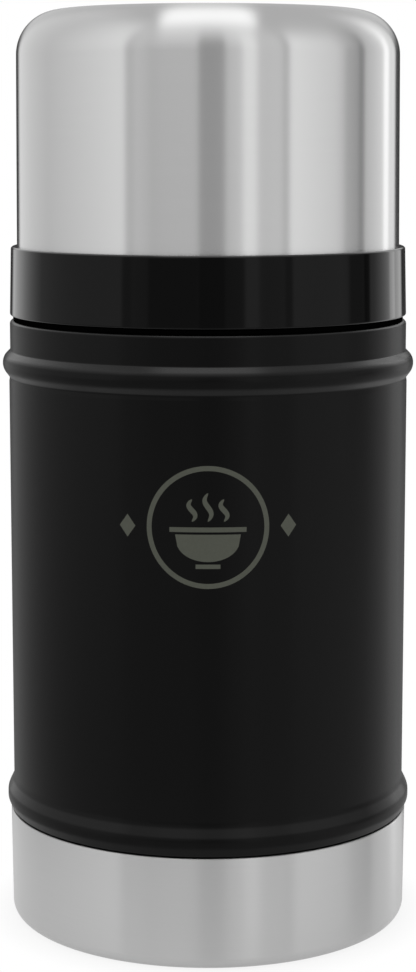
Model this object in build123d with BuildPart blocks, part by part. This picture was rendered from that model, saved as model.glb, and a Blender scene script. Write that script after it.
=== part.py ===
from build123d import *
import os

# Insulated food jar: a double-walled vacuum jar with a steel base, a threaded stopper in its
# mouth, and a steel cup that screws down over the stopper and serves as a bowl.
# Millimetres. Z = 0 is the surface that the jar stands on, and Z is the jar's axis.

# ---------------------------------------------------------------- driving sizes: the jar

body_radius = 48.0  # outside of the straight black wall
base_height = 26.9  # steel base, from the table to its seam with the black wall
wall_height = 119.6  # black wall, from the seam to the shoulder
neck_height = 20.2  # from the shoulder to the rim of the mouth

shell_wall = 0.6
vessel_wall = 0.5
plate_wall = 0.8
base_wall = 0.6
vacuum_gap = 4.4  # between shell and vessel, along the straight wall
neck_vacuum_gap = 1.1  # the same, in the neck
mouth_depth = 27.0  # from the rim down to where the vessel widens
step_run = 2.2  # height over which it widens
step_round = 3.0
rim_round = 0.3
vessel_lift = 14.0  # inside floor of the vessel above the table
vessel_corner = 12.0  # outside radius between the vessel's wall and floor

seam_gap = 0.3  # fine open line between the base and the black wall
lip_flare = 0.8  # the black wall's lower edge stands out this far from the straight wall
lip_height = 1.4
lip_round = 0.65
lip_blend = 2.0
lower_bead_height = 3.8  # crest above the seam
lower_bead_peak = 1.9  # where the bead's flanks would meet, out from the wall
lower_bead_run = 3.4  # from the crest up to the straight wall
lower_bead_blend = 6.0
upper_bead_drop = 10.2  # crest below the shoulder
upper_bead_peak = 1.95
upper_bead_run = 3.3
bead_round = 2.2  # radius over a bead's crest
groove_depth = 0.25  # shallow rolled groove under the upper bead
groove_run = 2.0
groove_blend = 6.0
groove_round = 0.9
band_inset = 0.3  # the band above the upper bead is this much slimmer than the wall
band_round = 0.7
shoulder_round = 0.9
neck_round = 0.8

base_proud = 0.5  # the base's foot stands out this far from the straight wall
base_flare = 0.25  # and the base widens by this much up to its seam
base_corner = 3.0
foot_width = 4.5  # flat ring that carries the jar
foot_recess = 2.0  # the middle of the base is pressed up by this much
foot_recess_run = 3.0
foot_recess_round = 2.2
skirt_gap = 0.05  # the base is a slip fit over the shell's skirt
skirt_lift = 2.0  # the skirt ends this far above the base's round corner

plate_lift = 4.0  # the end plate lies this far above the skirt's edge
plate_corner = 1.6
dimple_round = 0.9
port_radius = 1.5  # hole through which the jacket is pumped out
dimple_radius = 5.0
dimple_run = 2.5
dimple_depth = 2.0
pellet_radius = 3.8
pellet_height = 1.4
pellet_round = 0.7
getter_radius = 7.0
getter_height = 2.4
getter_round = 0.8
getter_offset = 24.0

# ---------------------------------------------------------------- driving sizes: the stopper

stopper_lead = 4.0  # rise in one turn of its thread
plug_gap = 1.6  # between plug and mouth: room for the two threads
plug_depth = 23.5  # plug below the rim
stopper_wall = 2.0
seal_height = 1.6
seal_inset = 0.2  # the seal stays this far inside the flange's edge
flange_inset = 0.3  # the flange stays this far inside the neck's outside
flange_height = 2.4
flange_round = 0.8
recess_depth = 11.0  # finger recess, from the flange's top
recess_wall = 3.3  # plug wall beside the recess, at the top
recess_draft = 0.8  # the recess narrows by this much to its floor
recess_round = 2.0
grip_width = 11.0
grip_rise = 6.0  # the grip bar above the flange
grip_round = 2.4
grip_seat = 1.0  # the bar's ends run this far into the wall round the recess
spigot_height = 3.0
spigot_gap = 0.1  # the cover's spigot is a slip fit in the plug
cover_round = 1.4

# ---------------------------------------------------------------- driving sizes: the cup

cup_lead = 6.0  # rise in one turn of its thread
gasket_height = 1.2  # the thin dark ring between shoulder and collar
gasket_inset = 0.75  # the gasket lies back from the collar's lower edge
gasket_lap = 0.4  # and stands in from the collar's bore
collar_height = 16.2
collar_inset = 0.35  # the collar's lower edge is this much slimmer than the black wall
collar_taper = 0.4
collar_bevel = 0.35
thread_gap = 2.0  # between neck and collar bore: room for the two threads
thread_height = 13.0  # height of the threaded bore
sleeve_wall = 0.85
sleeve_gap = 0.4  # between the sleeve and the neck that passes up inside it
ledge = 1.45  # the collar's top stands out from the steel by this much
cup_height = 55.3  # steel, from the collar to the top's edge
cup_crown = 0.5  # the top swells by this much to its middle
cup_taper = 0.4
cup_corner = 10.5
cup_wall = 0.5
cup_foot = 1.2  # the steel's edge is let into the collar by this much
foot_gap = 0.05
liner_wall = 1.5
liner_gap = 2.6  # between steel and liner, at the top
liner_headroom = 4.9  # between steel and liner, over the bowl's floor
liner_corner = 8.0
liner_rim_round = 0.8

turns = 1.25  # turns from tight to free, of the cup and of the stopper alike
clearance = 0.3  # between pieces that move past each other
play = 1.0  # spare height over a piece's travel

# ---------------------------------------------------------------- heights and radii that follow

cup_rise = cup_lead * turns
stopper_rise = stopper_lead * turns

lip_z = base_height + seam_gap
shoulder_z = lip_z + wall_height
rim_z = shoulder_z + neck_height

base_radius = body_radius + base_proud
skirt_radius = base_radius - base_wall - skirt_gap
skirt_z = base_corner + skirt_lift
plate_z = skirt_z + plate_lift  # underside of the end plate
plate_top = plate_z + plate_wall

collar_radius = body_radius - collar_inset
cup_radius = collar_radius - collar_taper - ledge
groove_outer = cup_radius + foot_gap  # the collar's groove for the steel's edge
groove_inner = cup_radius - cup_taper - cup_wall - foot_gap
sleeve_radius = groove_inner - sleeve_wall  # inside of the sleeve
neck_radius = sleeve_radius - sleeve_gap  # outside of the neck
bore_radius = neck_radius + thread_gap
mouth_radius = neck_radius - shell_wall - neck_vacuum_gap - vessel_wall  # inside of the mouth
vessel_radius = body_radius - shell_wall - vacuum_gap  # outside of the vessel

flange_z = rim_z + seal_height
flange_top = flange_z + flange_height
flange_radius = neck_radius - flange_inset
plug_radius = mouth_radius - plug_gap
plug_z = rim_z - plug_depth
cover_top = plug_z + stopper_wall
recess_z = flange_top - recess_depth
recess_radius = plug_radius - recess_wall
plug_bore = plug_radius - stopper_wall
spigot_radius = plug_bore - spigot_gap
spigot_bore = spigot_radius - stopper_wall
grip_top = flange_top + grip_rise

collar_z = shoulder_z + gasket_height
collar_top = collar_z + collar_height
bore_top = collar_z + thread_height
sleeve_top = flange_top + stopper_rise + play  # clear of the flange when the stopper is undone
cup_z = collar_top - cup_foot
cup_top = collar_top + cup_height
liner_radius = cup_radius - cup_taper - cup_wall - liner_gap  # outside of the liner
liner_top = cup_top - cup_wall - liner_headroom  # outside of the bowl's floor

# ================================================================ the jar

# The black shell: one sheet from the hidden skirt in the base, over both rolled beads and the
# shoulder, to the top of the neck.
lower_bead_z = lip_z + lower_bead_height
upper_bead_z = shoulder_z - upper_bead_drop
band_radius = body_radius - band_inset
shell_outline = [
    (skirt_radius, skirt_z),
    (skirt_radius, lip_z),
    (body_radius + lip_flare, lip_z),
    (body_radius + lip_flare, lip_z + lip_height),
    (body_radius + lower_bead_peak, lower_bead_z),
    (body_radius, lower_bead_z + lower_bead_run),
    (body_radius, upper_bead_z - upper_bead_run - groove_run),
    (body_radius - groove_depth, upper_bead_z - upper_bead_run),
    (body_radius + upper_bead_peak, upper_bead_z),
    (band_radius, upper_bead_z + upper_bead_run),
    (band_radius, shoulder_z),
    (neck_radius, shoulder_z),
    (neck_radius, rim_z - vessel_wall),
]
shell_rounds = [
    0,
    lip_round,
    lip_blend,
    bead_round,
    lower_bead_blend,
    groove_blend,
    groove_round,
    bead_round,
    band_round,
    shoulder_round,
    neck_round,
]

with BuildPart() as outer_shell:
    with BuildSketch(Plane.XZ):
        with BuildLine():
            FilletPolyline(shell_outline, radius=shell_rounds)
            offset(amount=shell_wall, side=Side.LEFT)
        make_face()
    revolve(axis=Axis.Z)

# The food vessel: a deep-drawn steel cup whose rim turns out over the shell's neck, where the
# two are welded.
vessel_floor = vessel_lift - vessel_wall
vessel_outline = [
    (0, vessel_floor),
    (vessel_radius, vessel_floor),
    (vessel_radius, rim_z - mouth_depth - step_run),
    (mouth_radius + vessel_wall, rim_z - mouth_depth),
    (mouth_radius + vessel_wall, rim_z - vessel_wall),
    (neck_radius, rim_z - vessel_wall),
]
vessel_rounds = [vessel_corner, step_round, step_round, rim_round]

with BuildPart() as inner_vessel:
    with BuildSketch(Plane.XZ):
        with BuildLine():
            FilletPolyline(vessel_outline, radius=vessel_rounds)
            offset(amount=vessel_wall, side=Side.LEFT)
        make_face()
    revolve(axis=Axis.Z)

# The end plate closes the jacket: a dished disc whose rim turns down inside the skirt, with the
# pump-out port in a dimple at its middle.
plate_outline = [
    (port_radius, plate_z + dimple_depth),
    (dimple_radius, plate_z + dimple_depth),
    (dimple_radius + dimple_run, plate_z),
    (skirt_radius - shell_wall - plate_wall, plate_z),
    (skirt_radius - shell_wall - plate_wall, skirt_z),
]

with BuildPart() as bottom_plate:
    with BuildSketch(Plane.XZ):
        with BuildLine():
            FilletPolyline(plate_outline, radius=[dimple_round, dimple_round, plate_corner])
            offset(amount=plate_wall, side=Side.LEFT)
        make_face()
    revolve(axis=Axis.Z)

# The braze pellet that seals the port after pumping.
with BuildPart() as vacuum_seal:
    with Locations((0, 0, plate_z + dimple_depth - pellet_height / 2)):
        Cylinder(pellet_radius, pellet_height)
    fillet(vacuum_seal.edges().sort_by(Axis.Z)[0], pellet_round)

# The getter, a flat pill on the plate's vacuum side, which keeps the vacuum good.
with BuildPart() as getter:
    with Locations((getter_offset, 0, plate_top + getter_height / 2)):
        Cylinder(getter_radius, getter_height)
    fillet(getter.edges().sort_by(Axis.Z)[-1], getter_round)

# The steel base: a pressed cup over the skirt, standing on a flat ring.
foot_radius = base_radius - base_corner - foot_width
base_outline = [
    (0, foot_recess),
    (foot_radius - foot_recess_run, foot_recess),
    (foot_radius, 0),
    (base_radius, 0),
    (base_radius + base_flare, base_height),
]

with BuildPart() as base_cup:
    with BuildSketch(Plane.XZ):
        with BuildLine():
            FilletPolyline(base_outline, radius=[foot_recess_round, foot_recess_round, base_corner])
            offset(amount=base_wall, side=Side.LEFT)
        make_face()
    revolve(axis=Axis.Z)

# ================================================================ the stopper

# The stopper's body is one moulding: a hollow plug, a flange over the rim, and a finger recess
# crossed by the grip bar.
recess_corner = (recess_radius - recess_draft, recess_z)
body_outline = [
    (0, recess_z - stopper_wall),
    (plug_bore, recess_z - stopper_wall),
    (plug_bore, cover_top),
    (plug_radius, cover_top),
    (plug_radius, flange_z),
    (flange_radius, flange_z),
    (flange_radius, flange_top),
    (recess_radius, flange_top),
    recess_corner,
    (0, recess_z),
]

with BuildPart() as stopper_body:
    with BuildSketch(Plane.XZ) as body_section:
        with BuildLine():
            Polyline(body_outline, close=True)
        make_face()
        fillet(body_section.vertices().sort_by_distance(recess_corner)[0], recess_round)
    revolve(axis=Axis.Z)
    flange_edges = stopper_body.edges().filter_by(GeomType.CIRCLE).group_by(Axis.Z)[-1]
    fillet(flange_edges, flange_round)
    with BuildSketch(Plane.XY.offset(recess_z - stopper_wall / 2)):
        SlotOverall(2 * (recess_radius + grip_seat), grip_width)
    extrude(amount=grip_top - recess_z + stopper_wall / 2)
    fillet(stopper_body.faces().sort_by(Axis.Z)[-1].edges(), grip_round)

# The cover welded into the plug's open end, with a spigot that centres it.
cover_outline = [
    (0, plug_z),
    (plug_radius, plug_z),
    (plug_radius, cover_top),
    (spigot_radius, cover_top),
    (spigot_radius, cover_top + spigot_height),
    (spigot_bore, cover_top + spigot_height),
    (spigot_bore, cover_top),
    (0, cover_top),
]

with BuildPart() as stopper_base:
    with BuildSketch(Plane.XZ):
        with BuildLine():
            Polyline(cover_outline, close=True)
        make_face()
    revolve(axis=Axis.Z)
    fillet(stopper_base.edges().filter_by(GeomType.CIRCLE).sort_by(Axis.Z)[0], cover_round)

# Foam under the recess floor, slim enough to pass inside the spigot.
foam_top = recess_z - stopper_wall
foam_height = foam_top - cover_top - stopper_rise - play
with BuildPart() as stopper_insulation:
    with Locations((0, 0, foam_top - foam_height / 2)):
        Cylinder(spigot_bore - clearance, foam_height)

# The silicone ring that the flange presses on the rim.
with BuildPart() as stopper_seal:
    with BuildSketch(Plane.XY.offset(rim_z)):
        Circle(flange_radius - seal_inset)
        Circle(plug_radius + clearance, mode=Mode.SUBTRACT)
    extrude(amount=seal_height)

# ================================================================ the cup

# The collar: a threaded ring round the neck, with a ledge that takes the steel's edge and a
# sleeve that stands inside the steel.
collar_outline = [
    (bore_radius, collar_z),
    (collar_radius, collar_z),
    (collar_radius - collar_taper, collar_top),
    (groove_outer, collar_top),
    (groove_outer, cup_z),
    (groove_inner, cup_z),
    (groove_inner, sleeve_top),
    (sleeve_radius, sleeve_top),
    (sleeve_radius, bore_top),
    (bore_radius, bore_top),
]

with BuildPart() as cup_collar:
    with BuildSketch(Plane.XZ) as collar_section:
        with BuildLine():
            Polyline(collar_outline, close=True)
        make_face()
        outer_corners = collar_section.vertices().sort_by(Axis.X)[-2:]
        chamfer(outer_corners, collar_bevel)
    revolve(axis=Axis.Z)

# The gasket under the collar: the thin ring that lies back in the gap above the shoulder.
with BuildPart() as cup_gasket:
    with BuildSketch(Plane.XY.offset(shoulder_z)):
        Circle(collar_radius - gasket_inset)
        Circle(bore_radius - gasket_lap, mode=Mode.SUBTRACT)
    extrude(amount=gasket_height)

# The steel outside of the cup, slightly tapered, with a large round corner and a crowned top.
with BuildPart() as cup_shell:
    with BuildSketch(Plane.XZ):
        with BuildLine() as shell_line:
            top_edge = (cup_radius - cup_taper, cup_top)
            Polyline((cup_radius, cup_z), (cup_radius, collar_top), top_edge)
            TangentArc((0, cup_top + cup_crown), top_edge, tangent=(1, 0))
            fillet(shell_line.vertices().sort_by_distance(top_edge)[0], cup_corner)
            offset(amount=cup_wall, side=Side.LEFT)
        make_face()
    revolve(axis=Axis.Z)

# The bowl inside it, whose rim rests on the sleeve.
liner_outline = [
    (groove_inner, sleeve_top),
    (liner_radius - liner_wall, sleeve_top),
    (liner_radius - liner_wall, liner_top - liner_wall),
    (0, liner_top - liner_wall),
]

with BuildPart() as cup_liner:
    with BuildSketch(Plane.XZ):
        with BuildLine():
            FilletPolyline(liner_outline, radius=[liner_rim_round, liner_corner])
            offset(amount=liner_wall, side=Side.RIGHT)
        make_face()
    revolve(axis=Axis.Z)

# The foam sleeve between steel and bowl.
sleeve_foam_z = sleeve_top + liner_wall + cup_rise + play
with BuildPart() as cup_insulation:
    with BuildSketch(Plane.XY.offset(sleeve_foam_z)):
        Circle(cup_radius - cup_taper - cup_wall - clearance)
        Circle(liner_radius + clearance, mode=Mode.SUBTRACT)
    extrude(amount=cup_top - cup_corner - sleeve_foam_z)

# ================================================================ output

pieces = {
    "outer_shell": outer_shell,
    "inner_vessel": inner_vessel,
    "bottom_plate": bottom_plate,
    "vacuum_seal": vacuum_seal,
    "getter": getter,
    "base_cup": base_cup,
    "stopper_body": stopper_body,
    "stopper_base": stopper_base,
    "stopper_insulation": stopper_insulation,
    "stopper_seal": stopper_seal,
    "cup_collar": cup_collar,
    "cup_gasket": cup_gasket,
    "cup_shell": cup_shell,
    "cup_liner": cup_liner,
    "cup_insulation": cup_insulation,
}

os.makedirs("parts", exist_ok=True)
for label, piece in pieces.items():
    piece.part.label = label
    export_step(piece.part, f"parts/{label}.step")
    print(label, round(piece.part.volume / 1000, 2), "cm3")
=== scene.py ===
"""Looks of an insulated food jar: a black powder-coated wall, a brushed steel base and cup, a gloss
collar, and the threads, stopper, seal and bowl that show when the jar is opened."""

import math

import bpy
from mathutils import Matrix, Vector


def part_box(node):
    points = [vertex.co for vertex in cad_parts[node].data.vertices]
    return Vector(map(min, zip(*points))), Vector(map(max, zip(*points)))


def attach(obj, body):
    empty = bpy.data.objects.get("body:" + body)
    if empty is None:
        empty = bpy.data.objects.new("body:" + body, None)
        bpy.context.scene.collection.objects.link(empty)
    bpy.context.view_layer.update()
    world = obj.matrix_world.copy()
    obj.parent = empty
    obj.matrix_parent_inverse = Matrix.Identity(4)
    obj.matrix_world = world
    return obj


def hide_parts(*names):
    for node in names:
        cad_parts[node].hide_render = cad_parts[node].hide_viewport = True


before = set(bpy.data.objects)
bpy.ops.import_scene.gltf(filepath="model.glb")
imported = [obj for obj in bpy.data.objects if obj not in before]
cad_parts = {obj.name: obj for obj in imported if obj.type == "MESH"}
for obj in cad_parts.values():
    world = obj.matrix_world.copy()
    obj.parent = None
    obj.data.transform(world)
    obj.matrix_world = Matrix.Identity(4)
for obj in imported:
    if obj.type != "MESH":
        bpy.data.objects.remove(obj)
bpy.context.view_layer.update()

MM = 0.001
TURN = 2 * math.pi
SEGMENTS = 288  # faces round the axis
ARC_STEP = math.radians(7)  # most turn between two points of a rounded corner
HOLD = 0.2  # distance of a holding point from the end of a straight stretch
ARC_RUN = 4 * HOLD  # most length between two points of a rounded corner
FLAT_RUN = 5 * HOLD  # a longer stretch than this is straight, and not a part of a corner
RUN_STEP = 4.0  # most length between two points of a straight stretch
SHARP = math.radians(35)  # an edge that turns by more than this looks sharp
AXIS = 1e-6  # an outline point nearer than this lies on the axis
AXIS_METRES = 1e-5  # a material's least distance from the axis, so that nothing is divided by 0


# ---------------------------------------------------------------- sizes from the frame, in mm


def top(node):
    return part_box(node)[1].z / MM


def bottom(node):
    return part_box(node)[0].z / MM


def reach(node):
    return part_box(node)[1].x / MM


rim_z = top("inner_vessel")
neck_radius = reach("inner_vessel")
shoulder_z = bottom("cup_gasket")
collar_z = top("cup_gasket")
seam_z = top("base_cup")
base_radius = reach("base_cup")
base_overhang = 0.75  # the base stands out this far from the black wall
body_radius = base_radius - base_overhang
steel_foot_z = bottom("cup_shell")
cup_radius = reach("cup_shell")
sleeve_top = top("cup_collar")
plug_radius = reach("stopper_base")

shell_wall = 0.6
vessel_wall = 0.5
cup_wall = 0.5
cup_taper = 0.4
mouth_radius = 41.4  # inside of the mouth
cup_lead = 6.0  # rise of the cup in one turn
stopper_lead = 4.0  # rise of the stopper in one turn


# ---------------------------------------------------------------- outlines


def rounded(corners, closed=False):
    """The outline through the corners, each a distance from the axis, a height, and the radius
    that it is rounded to. The ends of an open outline stay as they are."""
    points = [Vector(corner[:2]) for corner in corners]
    rounds = [corner[2] for corner in corners]
    if closed:
        turns = zip(points[-1:] + points[:-1], points, points[1:] + points[:1], rounds)
        path = []
    else:
        turns = zip(points, points[1:], points[2:], rounds[1:])
        path = [points[0]]
    for before, corner, after, radius in turns:
        if radius == 0:
            path.append(corner)
            continue
        into = (corner - before).normalized()
        out = (after - corner).normalized()
        turn = -into.angle_signed(out)
        start = corner - into * radius * math.tan(abs(turn) / 2)
        side = math.copysign(1, turn)
        centre = start + Vector((-into.y, into.x)) * side * radius
        spoke = start - centre
        steps = max(2, math.ceil(abs(turn) / ARC_STEP), math.ceil(abs(turn) * radius / ARC_RUN))
        for step in range(steps + 1):
            cosine, sine = math.cos(turn * step / steps), math.sin(turn * step / steps)
            turned = (spoke.x * cosine - spoke.y * sine, spoke.x * sine + spoke.y * cosine)
            path.append(centre + Vector(turned))
    if not closed:
        path.append(points[-1])
    return path


def offset(path, distance):
    """The path moved to its left by distance."""
    moved = []
    for i, point in enumerate(path):
        before = path[max(i, 1)] - path[max(i, 1) - 1]
        after = path[min(i + 1, len(path) - 1)] - path[min(i, len(path) - 2)]
        before.normalize()
        after.normalize()
        left = Vector((-before.y - after.y, before.x + after.x)).normalized()
        miter = left.dot(Vector((-before.y, before.x)))
        moved.append(point + left * distance / miter)
    return moved


def sheet(path, wall):
    """The closed section of a sheet whose face is path, with its wall to the left. An end that is
    not on the axis is rounded, as a cut and deburred edge is."""
    face = [point.copy() for point in path]
    hem = abs(wall) / 2
    for end, inner in ((0, 1), (-1, -2)):
        if face[end].x > AXIS:
            face[end] += (face[inner] - face[end]).normalized() * hem
    back = offset(face, wall)
    section = list(face)
    if face[-1].x > AXIS:
        section += cap(face[-1], back[-1], face[-1] - face[-2])
    section += reversed(back)
    if face[0].x > AXIS:
        section += cap(back[0], face[0], face[0] - face[1])
    return section


def cap(start, end, outward):
    """Points of a half circle from start to end that bulges outward."""
    centre = (start + end) / 2
    radius = (end - start).length / 2
    out = outward.normalized()
    along = (start - centre).normalized()
    steps = 6
    turns = [math.pi * step / steps for step in range(1, steps)]
    return [centre + (along * math.cos(a) + out * math.sin(a)) * radius for a in turns]


def washer(inner, inner_round, outer_round, node):
    """The closed section of a ring that is as wide and as high as the node."""
    outer, low, high = reach(node), bottom(node), top(node)
    outline = [
        (inner, low, inner_round),
        (outer, low, outer_round),
        (outer, high, outer_round),
        (inner, high, inner_round),
    ]
    return rounded(outline, closed=True)


def refined(section):
    """The closed section with more points, no further apart than RUN_STEP. A point close to each
    end of a straight stretch keeps it flat."""
    dense = []
    for start, end in zip(section, section[1:] + section[:1]):
        dense.append(start)
        if start.x < AXIS and end.x < AXIS:
            continue
        length = (end - start).length
        count = math.ceil(length / RUN_STEP)
        cuts = [k / count for k in range(1, count)]
        if length > FLAT_RUN:
            cuts = sorted([HOLD / length, *cuts, 1 - HOLD / length])
        dense += [start.lerp(end, cut) for cut in cuts]
    return dense


def smooth(value):
    """A smooth step from 0 to 1."""
    value = min(1.0, max(0.0, value))
    return value * value * (3 - 2 * value)


# ---------------------------------------------------------------- meshes


def new_object(name, vertices, faces):
    mesh = bpy.data.meshes.new(name)
    mesh.from_pydata(vertices, [], faces)
    mesh.validate()
    mesh.shade_smooth()
    mesh.set_sharp_from_angle(angle=SHARP)
    made = bpy.data.objects.new(name, mesh)
    bpy.context.scene.collection.objects.link(made)
    return made


def lathe(name, section):
    """The closed section turned round the Z axis."""
    area = sum(a.x * b.y - b.x * a.y for a, b in zip(section, section[1:] + section[:1]))
    if area < 0:
        section = section[::-1]
    vertices = []
    rings = []
    for point in section:
        if point.x < AXIS:
            rings.append([len(vertices)] * SEGMENTS)
            vertices.append((0, 0, point.y * MM))
            continue
        rings.append(range(len(vertices), len(vertices) + SEGMENTS))
        for k in range(SEGMENTS):
            angle = TURN * k / SEGMENTS
            x, y = point.x * math.cos(angle), point.x * math.sin(angle)
            vertices.append((x * MM, y * MM, point.y * MM))
    faces = []
    for lower, upper in zip(rings, rings[1:] + rings[:1]):
        if lower[0] == lower[1] and upper[0] == upper[1]:
            continue
        for k in range(SEGMENTS):
            n = (k + 1) % SEGMENTS
            corners = [lower[k], lower[n], upper[n], upper[k]]
            faces.append(tuple(dict.fromkeys(corners)))
    return new_object(name, vertices, faces)


def ridge(name, root, height, width, flank, lead, start, turns):
    """The ridge of a right-hand thread on the wall at root: outward, or inward if height is
    negative. It is width wide at its foot, and its flanks are smooth curves. Its ends run out over
    a part of a turn, and its foot is sunk a little into the wall."""
    sink = math.copysign(0.15, height)
    run_out = 0.12
    rows = 12
    steps = round(turns * SEGMENTS / 2)
    vertices = []
    for step in range(steps + 1):
        turn = turns * step / steps
        crest = height * smooth(turn / run_out) * smooth((turns - turn) / run_out)
        for row in range(rows + 1):
            rise = width * (row / rows - 0.5)
            share = smooth((width / 2 - abs(rise)) / flank)
            radius = root - sink + (crest + sink) * share
            x, y = radius * math.cos(TURN * turn), radius * math.sin(TURN * turn)
            vertices.append((x * MM, y * MM, (start + lead * turn + rise) * MM))
    ring = rows + 1
    last = ring * steps
    faces = [tuple(range(ring)), tuple(last + k for k in reversed(range(ring)))]
    for step in range(steps):
        for k in range(ring):
            a, b = ring * step + k, ring * step + (k + 1) % ring
            faces.append((b, a, a + ring, b + ring))
    if height < 0:
        faces = [face[::-1] for face in faces]
    return new_object(name, vertices, faces)


def finish_piece(made, material, slot, body, *nodes):
    """Dresses a piece, lets it ride on its body, and hides the CAD nodes it stands for."""
    made.data.materials.append(material)
    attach(made, body)
    if nodes:
        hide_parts(*nodes)


# ---------------------------------------------------------------- node recipes


def add(tree, kind, inputs=(), **settings):
    """A shader node. An input that is a socket is linked, and any other is set."""
    node = tree.nodes.new("ShaderNode" + kind)
    for key, value in settings.items():
        setattr(node, key, value)
    for key, value in dict(inputs).items():
        if isinstance(value, bpy.types.NodeSocket):
            tree.links.new(value, node.inputs[key])
        else:
            node.inputs[key].default_value = value
    return node


def calc(tree, operation, *values):
    """The result of a Math node on sockets and numbers."""
    return add(tree, "Math", enumerate(values), operation=operation).outputs[0]


def blank(name):
    material = bpy.data.materials.new(name)
    material.use_nodes = True
    material.node_tree.nodes.clear()
    return material, material.node_tree


def surface(tree, **inputs):
    """A Principled shader on the output. Underscores in the names stand for spaces."""
    values = {key.replace("_", " "): value for key, value in inputs.items()}
    shader = add(tree, "BsdfPrincipled", values)
    add(tree, "OutputMaterial", {"Surface": shader.outputs[0]})


def grain(tree, size, detail=2.0):
    """Noise with features of about size millimetres, from 0 to 1."""
    place = add(tree, "TexCoord").outputs["Object"]
    values = {"Vector": place, "Scale": 1 / (size * MM), "Detail": detail}
    return add(tree, "TexNoise", values).outputs["Fac"]


def span(tree, value, low, high, start=0.0, end=1.0):
    """A value that runs from start to end, made to run from low to high, and held there."""
    inputs = {"Value": value, "From Min": start, "From Max": end, "To Min": low, "To Max": high}
    return add(tree, "MapRange", inputs).outputs["Result"]


def tint(tree, factor, dark, light):
    """A colour between two colours."""
    inputs = {0: factor, 6: (*dark, 1.0), 7: (*light, 1.0)}
    return add(tree, "Mix", inputs, data_type="RGBA").outputs[2]


def relief_normal(tree, height, depth):
    """The normal of a relief that is depth millimetres deep."""
    inputs = {"Height": height, "Distance": depth * MM, "Strength": 1.0}
    return add(tree, "Bump", inputs).outputs["Normal"]


def ring_place(tree, around, along):
    """Coordinates that run round the axis slowly and along the outline fast, so that noise on them
    is drawn out into rings. along is in millimetres, and around in repeats per radian."""
    place = add(tree, "TexCoord").outputs["Object"]
    x, y, z = add(tree, "SeparateXYZ", {"Vector": place}).outputs
    squares = calc(tree, "ADD", calc(tree, "MULTIPLY", x, x), calc(tree, "MULTIPLY", y, y))
    radius = calc(tree, "SQRT", squares)
    safe = calc(tree, "MAXIMUM", radius, AXIS_METRES)
    outline = calc(tree, "SUBTRACT", z, radius)
    parts = {
        "X": calc(tree, "MULTIPLY", calc(tree, "DIVIDE", x, safe), around),
        "Y": calc(tree, "MULTIPLY", calc(tree, "DIVIDE", y, safe), around),
        "Z": calc(tree, "DIVIDE", outline, along * MM),
    }
    return add(tree, "CombineXYZ", parts).outputs[0]


def ring_noise(tree, around, along, detail):
    """Noise drawn out into rings round the axis, from 0 to 1."""
    values = {"Vector": ring_place(tree, around, along), "Scale": 1.0, "Detail": detail}
    return add(tree, "TexNoise", values).outputs["Fac"]


# ---------------------------------------------------------------- materials


def brushed_steel(name, tone, roughness, groove_depth):
    """Steel brushed round the axis: fine rings of light and dark, grooves that spread a
    reflection up and down, and a few faint cloudy marks."""
    contrast, wear = 0.008, 0.004
    material, tree = blank(name)
    fine = ring_noise(tree, around=2.2, along=0.16, detail=3.0)
    broad = ring_noise(tree, around=1.3, along=1.1, detail=2.0)
    cloud = grain(tree, 24.0)
    streaks = calc(tree, "MULTIPLY_ADD", fine, 0.75, calc(tree, "MULTIPLY", broad, 0.25))
    streaks = span(tree, streaks, 0.0, 1.0, 0.35, 0.65)
    worn = calc(tree, "ADD", span(tree, broad, -wear, wear), span(tree, cloud, -wear, wear))
    surface(
        tree,
        Base_Color=tint(tree, streaks, [tone * (1 - contrast)] * 3, [tone * (1 + contrast)] * 3),
        Metallic=1.0,
        Roughness=calc(tree, "ADD", worn, roughness),
        Anisotropic=1.0,
        Anisotropic_Rotation=0.25,
        Tangent=add(tree, "Tangent", direction_type="RADIAL", axis="Z").outputs[0],
        Normal=relief_normal(tree, fine, groove_depth),
    )
    return material


def rubbed(tree, wall, edge):
    """The weight of a thin gloss layer: wall on an upright face, and up to edge where hands and
    cloths have polished a face that is turned up, or less so down."""
    down_share = 0.75
    upright, turned = 0.32, 0.62  # sines of the face's tilt between which the weight grows
    normal = add(tree, "TexCoord").outputs["Normal"]
    upward = add(tree, "SeparateXYZ", {"Vector": normal}).outputs["Z"]
    tilt = calc(tree, "MAXIMUM", upward, calc(tree, "MULTIPLY", upward, -down_share))
    return span(tree, tilt, wall, edge, upright, turned)


def powder_coat():
    """Black powder coat: satin, with a fine closed grain, and rubbed shiny where it is turned up
    or down, on the rolled beads and the shoulder."""
    material, tree = blank("powder_coat")
    fine = grain(tree, 0.45, 3.0)
    cloud = grain(tree, 30.0)
    surface(
        tree,
        Base_Color=tint(tree, fine, (0.0002, 0.0002, 0.0002), (0.0005, 0.0005, 0.0005)),
        Roughness=calc(tree, "ADD", span(tree, fine, 0.42, 0.48), span(tree, cloud, -0.02, 0.02)),
        Specular_IOR_Level=0.07,
        Coat_Weight=rubbed(tree, 0.18, 0.88),
        Coat_IOR=1.4,
        Coat_Roughness=0.2,
        Normal=relief_normal(tree, fine, 0.02),
    )
    return material


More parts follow.
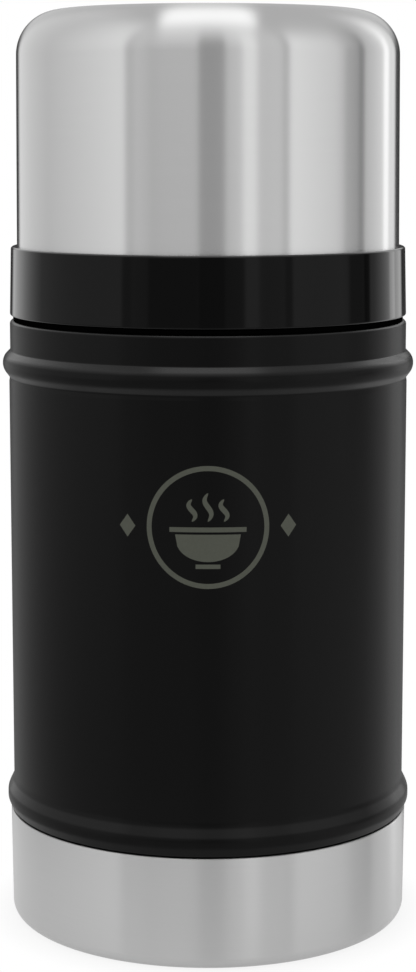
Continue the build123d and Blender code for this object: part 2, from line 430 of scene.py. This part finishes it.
def gloss_plastic():
    """Gloss black plastic, with the faint waviness of a moulding. It is glossiest where it is
    turned up or down, and where it is seen at a slant."""
    material, tree = blank("gloss_plastic")
    wave = grain(tree, 9.0, 1.0)
    dust = grain(tree, 0.6, 2.0)
    facing = add(tree, "LayerWeight", {"Blend": 0.5}).outputs["Facing"]
    slanted = span(tree, facing, 0.0, 0.65, 0.46, 0.66)
    polish = calc(tree, "MAXIMUM", rubbed(tree, 0.0, 1.0), slanted)
    surface(
        tree,
        Base_Color=tint(tree, wave, (0.0004, 0.0004, 0.0004), (0.0007, 0.0007, 0.0007)),
        Roughness=span(tree, dust, 0.04, 0.07),
        Specular_IOR_Level=0.14,
        Coat_Weight=polish,
        Coat_IOR=1.5,
        Coat_Roughness=0.08,
        Normal=relief_normal(tree, wave, 0.006),
    )
    return material


def moulded_plastic(name, tone, roughness, grain_depth, shine=0.5):
    """Plastic or rubber from a textured mould."""
    material, tree = blank(name)
    spark = grain(tree, 0.5, 3.0)
    cloud = grain(tree, 14.0)
    surface(
        tree,
        Base_Color=tint(tree, cloud, [t * 0.85 for t in tone], [t * 1.15 for t in tone]),
        Roughness=span(tree, spark, roughness - 0.05, roughness + 0.05),
        Specular_IOR_Level=shine,
        Normal=relief_normal(tree, spark, grain_depth),
    )
    return material


def foam():
    """Cream foam with open cells."""
    cell_size = 0.7
    material, tree = blank("foam")
    place = add(tree, "TexCoord").outputs["Object"]
    values = {"Vector": place, "Scale": 1 / (cell_size * MM)}
    cells = add(tree, "TexVoronoi", values).outputs["Distance"]
    surface(
        tree,
        Base_Color=tint(tree, cells, (0.62, 0.56, 0.44), (0.84, 0.80, 0.70)),
        Roughness=0.9,
        Normal=relief_normal(tree, cells, 0.15),
    )
    return material


def alloy(name, dark, light, grain_size):
    """A small metal part with a cast or pressed surface."""
    material, tree = blank(name)
    lumps = grain(tree, grain_size, 3.0)
    surface(
        tree,
        Base_Color=tint(tree, lumps, dark, light),
        Metallic=1.0,
        Roughness=span(tree, lumps, 0.3, 0.5),
        Normal=relief_normal(tree, lumps, 0.06),
    )
    return material


def print_ink():
    """Matt olive-grey ink, a little thin in places."""
    material, tree = blank("print_ink")
    mottle = grain(tree, 0.8, 3.0)
    surface(
        tree,
        Base_Color=tint(tree, mottle, (0.060, 0.064, 0.049), (0.078, 0.083, 0.065)),
        Roughness=span(tree, mottle, 0.5, 0.62),
        Specular_IOR_Level=0.3,
        Normal=relief_normal(tree, grain(tree, 0.45, 3.0), 0.012),
    )
    return material


# ---------------------------------------------------------------- the jar


def black_shell(material):
    """The black wall: one sheet from the hidden skirt to the neck, with the cup's thread."""
    skirt_radius = base_radius - 0.9
    lip_radius, lip_z = body_radius + 0.55, seam_z + 0.3
    crest_radius = body_radius + 1.5
    hollow_radius = body_radius - 0.15
    band_radius = body_radius - 0.3
    bead_z = shoulder_z - 10.2
    outline = [
        (skirt_radius, bottom("outer_shell"), 0),
        (skirt_radius, lip_z, 0),
        (lip_radius, lip_z, 0.65),
        (crest_radius, lip_z + 2.2, 1.8),  # the lower bead
        (crest_radius, lip_z + 4.2, 2.8),
        (body_radius, lip_z + 7.3, 3.6),  # the straight wall
        (body_radius, bead_z - 4.4, 1.0),
        (hollow_radius, bead_z - 3.4, 0.8),
        (crest_radius, bead_z - 1.2, 3.5),  # the upper bead
        (crest_radius, bead_z + 1.36, 3.1),
        (band_radius, bead_z + 3.1, 0.6),
        (band_radius, shoulder_z, 0.9),
        (neck_radius, shoulder_z, 0.8),
        (neck_radius, top("outer_shell"), 0),
    ]
    section = refined(sheet(rounded(outline), shell_wall))
    finish_piece(lathe("black_shell", section), material, "shell_paint", "jar", "outer_shell")
    made = ridge(
        "neck_thread",
        neck_radius,
        height=1.2,
        width=2.8,
        flank=1.0,
        lead=cup_lead,
        start=shoulder_z + 4.6,
        turns=1.35,
    )
    finish_piece(made, material, "shell_paint", "jar")


def food_vessel(material):
    """The food vessel, with the stopper's thread in its mouth, and its rim turned out."""
    vacuum_gap = 4.4
    outer, floor_z = body_radius - shell_wall - vacuum_gap, bottom("inner_vessel")
    throat, step_z = mouth_radius + vessel_wall, rim_z - 27.0
    step_drop = 2.2
    rim_underside = rim_z - vessel_wall
    outline = [
        (0, floor_z, 0),
        (outer, floor_z, 12.0),
        (outer, step_z - step_drop, 3.0),
        (throat, step_z, 3.0),
        (throat, rim_underside, 0.3),
        (neck_radius, rim_underside, 0),
    ]
    section = refined(sheet(rounded(outline), vessel_wall))
    finish_piece(lathe("food_vessel", section), material, "vessel_steel", "jar", "inner_vessel")
    made = ridge(
        "mouth_thread",
        mouth_radius,
        height=-1.0,
        width=1.9,
        flank=0.7,
        lead=stopper_lead,
        start=step_z + 7.5,
        turns=2.6,
    )
    finish_piece(made, material, "vessel_steel", "jar")


def rim_weld(material):
    """The bead that joins the vessel's rim to the neck."""
    bead_radius, steps = 0.26, 10
    centre = Vector((neck_radius - 0.08, top("outer_shell") - 0.05))
    turns = [TURN * k / steps for k in range(steps)]
    section = [centre + Vector((math.cos(a), math.sin(a))) * bead_radius for a in turns]
    finish_piece(lathe("rim_weld", section), material, "vessel_steel", "jar")


def steel_base(material):
    """The steel base, with a round lower corner, a flat foot and a recessed middle."""
    foot_radius = 41.0
    recess, recess_slope = 2.0, 3.0
    taper = 0.25
    outline = [
        (0, recess, 0),
        (foot_radius - recess_slope, recess, 2.2),
        (foot_radius, 0, 2.2),
        (base_radius - taper, 0, 3.0),
        (base_radius, seam_z, 0),
    ]
    section = refined(sheet(rounded(outline), shell_wall))
    finish_piece(lathe("steel_base", section), material, "brushed_steel", "jar", "base_cup")


# ---------------------------------------------------------------- the print on the front


def ribbon(path, width):
    """A strip along a path, as pairs of points across it. Its width is given for each share of the
    path."""
    edges = []
    for i, point in enumerate(path):
        before = path[max(i - 1, 0)]
        after = path[min(i + 1, len(path) - 1)]
        across = Vector((before.y - after.y, after.x - before.x)).normalized()
        half = width(i / (len(path) - 1)) / 2
        edges.append((point + across * half, point - across * half))
    return edges


def columns(left, right, low, high, step=0.5):
    """The area between two curves over x, as pairs of points, the upper first."""
    count = math.ceil((right - left) / step)
    edges = []
    for k in range(count + 1):
        x = left + (right - left) * k / count
        edges.append((Vector((x, high(x))), Vector((x, low(x)))))
    return edges


def front_print(material):
    """A plain steaming bowl in a ring, with a diamond to each side: a layer of ink on the wall."""
    centre_z = 103.7
    ink_face, ink_back = 0.02, -0.04
    tip = 0.02  # so that no end of the bowl or a diamond closes to nothing
    ring_radius, ring_line, ring_steps = 13.4, 1.15, 96
    bowl_half, bowl_depth, bowl_rim = 7.4, 6.2, -1.6
    brim_half, brim_low, brim_high = 8.7, bowl_rim + 0.55, bowl_rim + 1.65
    foot_half, foot_thickness, foot_z = 2.8, 1.0, bowl_rim - bowl_depth - 0.6
    steam_z, steam_sway, steam_steps = bowl_rim + 3.0, 0.75, 24
    diamond_place, diamond_half, diamond_rise, diamond_step = 18.6, 1.9, 2.6, 0.475

    def bowl_belly(x):
        round_share = math.sqrt(max(0, 1 - (x / bowl_half) ** 2)) ** 0.8
        return bowl_rim - bowl_depth * round_share - tip

    def steam_width(share):
        return 0.15 + 1.05 * math.sin(math.pi * share) ** 0.6

    circle = [
        Vector((math.cos(TURN * k / ring_steps), math.sin(TURN * k / ring_steps))) * ring_radius
        for k in range(ring_steps + 1)
    ]
    strips = [
        ribbon(circle, lambda share: ring_line),
        columns(-bowl_half, bowl_half, bowl_belly, lambda x: bowl_rim),
        columns(-brim_half, brim_half, lambda x: brim_low, lambda x: brim_high),
        columns(-foot_half, foot_half, lambda x: foot_z - foot_thickness, lambda x: foot_z),
    ]
    for place, tall in ((-3.6, 5.0), (0.0, 6.4), (3.6, 5.0)):
        wave = []
        for k in range(steam_steps + 1):
            sway = steam_sway * math.sin(TURN * k / steam_steps)
            wave.append(Vector((place + sway, steam_z + tall * k / steam_steps)))
        strips.append(ribbon(wave, steam_width))
    for middle in (-diamond_place, diamond_place):

        def diamond_top(x, middle=middle):
            return diamond_rise * (1 - abs(x - middle) / diamond_half) + tip

        def diamond_foot(x, middle=middle):
            return -diamond_rise * (1 - abs(x - middle) / diamond_half) - tip

        left, right = middle - diamond_half, middle + diamond_half
        strips.append(columns(left, right, diamond_foot, diamond_top, diamond_step))
    vertices, faces = [], []
    for edges in strips:
        start = len(vertices)
        for high, low in edges:
            for depth in (ink_face, ink_back):
                for point in (high, low):
                    angle = point.x / body_radius - math.pi / 2
                    radius = body_radius + depth
                    x, y = radius * math.cos(angle), radius * math.sin(angle)
                    vertices.append((x * MM, y * MM, (centre_z + point.y) * MM))
        last = len(edges) - 1
        for k in range(last):
            a, b = start + 4 * k, start + 4 * k + 4
            faces += [(a, a + 1, b + 1, b), (a + 2, b + 2, b + 3, a + 3)]
            faces += [(a, b, b + 2, a + 2), (a + 1, a + 3, b + 3, b + 1)]
        if edges[0] != edges[-1]:
            end = start + 4 * last
            faces += [(start, start + 2, start + 3, start + 1), (end, end + 1, end + 3, end + 2)]
    finish_piece(new_object("front_print", vertices, faces), material, "shell_paint", "jar")


# ---------------------------------------------------------------- the stopper


def stopper_thread(material):
    """The raised thread round the plug."""
    made = ridge(
        "stopper_thread",
        plug_radius,
        height=1.15,
        width=2.0,
        flank=0.6,
        lead=stopper_lead,
        start=rim_z - 17.5,
        turns=2.3,
    )
    finish_piece(made, material, "stopper_plastic", "stopper")


def seal_ring(material):
    """The silicone ring, with a soft outer edge."""
    inner = plug_radius + 0.3
    section = washer(inner, inner_round=0.3, outer_round=0.7, node="stopper_seal")
    made = lathe("seal_ring", section)
    finish_piece(made, material, "silicone", "stopper_raised", "stopper_seal")


# ---------------------------------------------------------------- the cup


def gloss_collar(material):
    """The gloss collar, with the cup's thread inside its bore."""
    outer, taper = cup_radius + 1.85, 0.4
    collar_top = steel_foot_z + 1.35
    groove_outer = cup_radius + 0.05
    groove_inner = cup_radius - 0.95
    sleeve_radius = groove_inner - 0.85
    bore_radius, bore_top = neck_radius + 2.0, collar_z + 13.0
    outline = [
        (bore_radius, collar_z, 0.3),
        (outer, collar_z, 0.45),
        (outer - taper, collar_top, 0.6),
        (groove_outer, collar_top, 0.12),
        (groove_outer, steel_foot_z, 0),
        (groove_inner, steel_foot_z, 0),
        (groove_inner, sleeve_top, 0.15),
        (sleeve_radius, sleeve_top, 0.15),
        (sleeve_radius, bore_top, 0.3),
        (bore_radius, bore_top, 0.3),
    ]
    section = refined(rounded(outline, closed=True))
    finish_piece(lathe("gloss_collar", section), material, "collar_gloss", "cup", "cup_collar")
    made = ridge(
        "collar_thread",
        bore_radius,
        height=-1.2,
        width=2.4,
        flank=0.9,
        lead=cup_lead,
        start=shoulder_z + 1.9,
        turns=1.3,
    )
    finish_piece(made, material, "collar_gloss", "cup")


def collar_gasket(material):
    """The thin dark ring under the collar: a rubber gasket, whose near-black, shineless finish is
    partly painted shade of the recessed gap.
    """
    inner = neck_radius + 1.6
    section = washer(inner, inner_round=0.2, outer_round=0.35, node="cup_gasket")
    made = lathe("collar_gasket", section)
    finish_piece(made, material, "gasket_rubber", "cup_raised", "cup_gasket")


def steel_cup(material):
    """The steel outside of the cup, slightly tapered, with a large round corner and a low crown."""
    crown, upright_foot = 0.5, 1.2
    edge_radius, edge_z = cup_radius - cup_taper, top("cup_shell") - crown
    outline = [
        (cup_radius, steel_foot_z, 0),
        (cup_radius, steel_foot_z + upright_foot, 0),
        (edge_radius, edge_z, 10.5),
    ]
    for radius in (32, 27, 22, 17, 12, 8, 4, 0):
        outline.append((radius, edge_z + crown * (1 - (radius / edge_radius) ** 2), 0))
    section = refined(sheet(rounded(outline), cup_wall))
    finish_piece(lathe("steel_cup", section), material, "brushed_steel", "cup", "cup_shell")


def cup_bowl(material):
    """The bowl inside the cup, with a rounded rim."""
    wall, foam_wall = 1.5, 2.6
    ceiling = top("cup_liner") - wall
    inner = cup_radius - cup_taper - cup_wall - foam_wall - wall
    outline = [
        (reach("cup_liner"), sleeve_top, 0),
        (inner, sleeve_top, 0.8),
        (inner, ceiling, 8.0),
        (0, ceiling, 0),
    ]
    section = refined(sheet(rounded(outline), -wall))
    finish_piece(lathe("cup_bowl", section), material, "liner_plastic", "cup", "cup_liner")


# ---------------------------------------------------------------- the studio


def studio_world():
    """A white room. The camera sees it empty. On the object it holds cards and lamps, given by
    their azimuth in degrees from the camera's side towards +X, and a softbox overhead."""
    world = bpy.data.worlds.new("studio")
    bpy.context.scene.world = world
    world.use_nodes = True
    tree = world.node_tree
    tree.nodes.clear()
    direction = add(tree, "TexCoord").outputs["Generated"]
    x, y, z = add(tree, "SeparateXYZ", {"Vector": direction}).outputs
    azimuth = calc(tree, "ARCTAN2", x, calc(tree, "MULTIPLY", y, -1.0))
    azimuth = calc(tree, "MULTIPLY", azimuth, math.degrees(1))
    elevation = calc(tree, "MULTIPLY", calc(tree, "ARCSINE", z), math.degrees(1))

    def step(value, place, soft):
        """0 below place and 1 above it, with a soft edge."""
        inputs = {"Value": value, "From Min": place - soft / 2, "From Max": place + soft / 2}
        return add(tree, "MapRange", inputs, interpolation_type="SMOOTHSTEP").outputs["Result"]

    def within(value, low, high, soft):
        """1 between low and high and 0 outside them, with soft edges."""
        return calc(tree, "SUBTRACT", step(value, low, soft), step(value, high, soft))

    def blend(under, over, mask):
        """under where the mask is 0, and over where it is 1."""
        return calc(tree, "MULTIPLY_ADD", calc(tree, "SUBTRACT", over, under), mask, under)

    # from, to, softness of the edges, and brightness at either end; the white room is 1
    cards = (
        (-200, -156, 8, 0.05, 0.05),  # dark behind the jar, on the left
        (-156, -112, 4, 0.96, 0.80),  # left wall
        (-112, -50, 3, 0.78, 1.18),
        (-50, -44, 3, 0.74, 0.74),  # gap beside the left panel
        (-44, -34, 3, 0.91, 0.77),  # left panel
        (-34, -5.5, 3, 0.83, 0.83),
        (-5.5, 10, 3, 0.33, 0.35),  # the camera's dark side
        (10, 20, 3, 0.82, 0.98),  # right panel
        (20, 29, 3, 1.25, 1.25),  # key light
        (29, 44.5, 5, 0.83, 0.91),  # right panel
        (44.5, 49, 3, 0.62, 0.62),  # light stand
        (49, 84, 3, 1.23, 0.94),  # right wall
        (84, 101, 5, 0.84, 0.54),
        (101, 106, 3, 0.31, 0.31),  # gap beside the wall
        (106, 129, 4, 0.67, 1.02),
        (129, 137, 3, 1.60, 1.60),  # rim light
        (137, 150.5, 3, 1.04, 1.04),
        (150.5, 200, 6, 0.05, 0.05),  # dark behind the jar, on the right
    )
    room = 1.0
    for start, end, soft, first, last in cards:
        level = first - 1
        if first != last:
            level = span(tree, azimuth, first - 1, last - 1, start, end)
        card = within(azimuth, start, end, soft)
        room = calc(tree, "MULTIPLY_ADD", card, level, room)

    # a dark table edge stands low round the jar, where the gloss collar mirrors it: from, to,
    # softness, and the share of the brightness that is left
    table = within(elevation, -8, 2, 4)
    table_edges = (
        (-49, -34, 3, 0.8),
        (-34, -5.5, 3, 0.5),
        (10, 21, 3, 0.6),
        (32, 45, 4, 0.92),
        (88, 106, 4, 0.5),
    )
    for start, end, soft, share in table_edges:
        edge = calc(tree, "MULTIPLY", table, within(azimuth, start, end, soft))
        room = blend(room, calc(tree, "MULTIPLY", room, share), edge)

    # below, the cards fade into the floor, which is a little brighter towards +X
    floor = calc(tree, "MULTIPLY_ADD", x, 0.18, 0.65)
    low = calc(tree, "SUBTRACT", 1.0, step(elevation, place=-9, soft=12))
    room = blend(room, floor, calc(tree, "MULTIPLY", low, 0.7))

    # above, they end at an even ceiling, which begins lower towards +X
    ceiling = 0.68
    high = step(calc(tree, "MULTIPLY_ADD", x, 20.0, elevation), place=50, soft=26)
    room = blend(room, ceiling, high)

    # the dark behind the jar is low, and over it is a grey wall
    back_wall = 0.7
    behind = step(calc(tree, "ABSOLUTE", azimuth), place=153, soft=8)
    over = step(elevation, place=9, soft=10)
    room = blend(room, back_wall, calc(tree, "MULTIPLY", behind, over))

    # the softbox hangs over the jar, tilted towards the camera, so that its near end looks wider,
    # and its cloth hangs down in front and grows darker on the way
    cloth, softbox = 1.1, 1.75
    half_width = calc(tree, "MULTIPLY", calc(tree, "SUBTRACT", 1.0, y), 0.26)
    inside = calc(tree, "SUBTRACT", half_width, calc(tree, "ABSOLUTE", x))
    across = step(inside, place=0.0, soft=0.11)
    hanging = step(elevation, place=34, soft=60)
    room = blend(room, cloth, calc(tree, "MULTIPLY", across, hanging))
    overhead = calc(tree, "MULTIPLY", within(y, -0.4, 0.4, 0.3), step(z, place=0.3, soft=0.1))
    room = blend(room, softbox, calc(tree, "MULTIPLY", across, overhead))

    seen = add(tree, "LightPath").outputs["Is Camera Ray"]
    strength = blend(room, 1.0, seen)
    light = add(tree, "Background", {"Color": (1, 1, 1, 1), "Strength": strength})
    add(tree, "OutputWorld", {"Surface": light.outputs[0]})


def white_board():
    """The round white board that the jar stands on. The camera sees it as white, with a little of
    the jar's shadow near its foot, and polished surfaces mirror it partly as white and partly as
    the lit paper that it is."""
    radius, steps = 0.12, 96
    shadow_start, shadow_end = 0.047, 0.058  # distances from the axis, in metres
    shadow_white, mirrored_white = 0.85, 0.6  # shares of plain white in the shadow and mirrored
    rim = [
        (radius * math.cos(TURN * k / steps), radius * math.sin(TURN * k / steps), 0)
        for k in range(steps)
    ]
    board = new_object("board", rim, [tuple(range(steps))])
    material, tree = blank("white_board")
    fibres = tint(tree, grain(tree, 6.0), (0.80, 0.80, 0.80), (0.84, 0.84, 0.84))
    paper = add(tree, "BsdfDiffuse", {"Color": fibres})
    white = add(tree, "Emission", {"Strength": 1.0})
    place = add(tree, "TexCoord").outputs["Object"]
    away = add(tree, "VectorMath", {0: place}, operation="LENGTH").outputs["Value"]
    inputs = {
        "Value": away,
        "From Min": shadow_start,
        "From Max": shadow_end,
        "To Min": shadow_white,
        "To Max": 1.0,
    }
    clear = add(tree, "MapRange", inputs, interpolation_type="SMOOTHSTEP").outputs["Result"]
    ray = add(tree, "LightPath").outputs
    seen = calc(tree, "MULTIPLY", ray["Is Camera Ray"], clear)
    mirrored = calc(tree, "MAXIMUM", ray["Is Glossy Ray"], ray["Is Transmission Ray"])
    share = calc(tree, "MAXIMUM", seen, calc(tree, "MULTIPLY", mirrored, mirrored_white))
    mixed = add(tree, "MixShader", {0: share, 1: paper.outputs[0], 2: white.outputs[0]})
    add(tree, "OutputMaterial", {"Surface": mixed.outputs[0]})
    board.data.materials.append(material)


def camera():
    """The camera: a long lens, a little over half a metre away, looking slightly down."""
    distance, height, pitch = 0.5633, 0.1917, math.radians(8.666)
    data = bpy.data.cameras.new("camera")
    data.sensor_width = 36.0
    data.lens = 86.43
    made = bpy.data.objects.new("camera", data)
    made.location = (0, -distance, height)
    made.rotation_euler = (math.pi / 2 - pitch, 0, 0)
    bpy.context.scene.collection.objects.link(made)
    bpy.context.scene.camera = made


# ---------------------------------------------------------------- putting it together

# tone, roughness, and the depth of the grooves in mm
cup_steel = brushed_steel("brushed_steel", 0.60, 0.23, 0.0015)
# the base steel is rougher, its own more matte finish; its lower tone than the cup's steel is
# painted shade
painted_shade_base_steel = brushed_steel("brushed_base_steel", 0.55, 0.33, 0.002)
vessel_steel = brushed_steel("satin_vessel_steel", 0.62, 0.34, 0.004)
# tone, roughness, and the depth of the mould's texture in mm
black_plastic = moulded_plastic("stopper_plastic", (0.011, 0.011, 0.012), 0.5, 0.02)
bowl_plastic = moulded_plastic("bowl_plastic", (0.013, 0.013, 0.014), 0.38, 0.008)
silicone = moulded_plastic("silicone", (0.42, 0.43, 0.43), 0.5, 0.006)
# near black and without shine: the gasket's dark rubber, and painted shade of the recessed gap
# under the collar
rubber = moulded_plastic("gasket_rubber", (0.001, 0.001, 0.001), 0.9, 0.02, shine=0.0)

black_shell(powder_coat())
food_vessel(vessel_steel)
rim_weld(vessel_steel)
steel_base(painted_shade_base_steel)
front_print(print_ink())
stopper_thread(black_plastic)
seal_ring(silicone)
gloss_collar(gloss_plastic())
collar_gasket(rubber)
steel_cup(cup_steel)
cup_bowl(bowl_plastic)

carried_over = {
    "bottom_plate": vessel_steel,
    "vacuum_seal": alloy("braze", (0.36, 0.27, 0.16), (0.48, 0.39, 0.25), 1.2),
    "getter": alloy("getter_alloy", (0.22, 0.22, 0.23), (0.36, 0.36, 0.37), 0.5),
    "stopper_body": black_plastic,
    "stopper_base": black_plastic,
    "stopper_insulation": foam(),
    "cup_insulation": foam(),
}
for node_name, node_material in carried_over.items():
    for material_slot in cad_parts[node_name].material_slots:
        material_slot.material = node_material

camera()
studio_world()
white_board()
bpy.context.scene.view_settings.view_transform = "Standard"
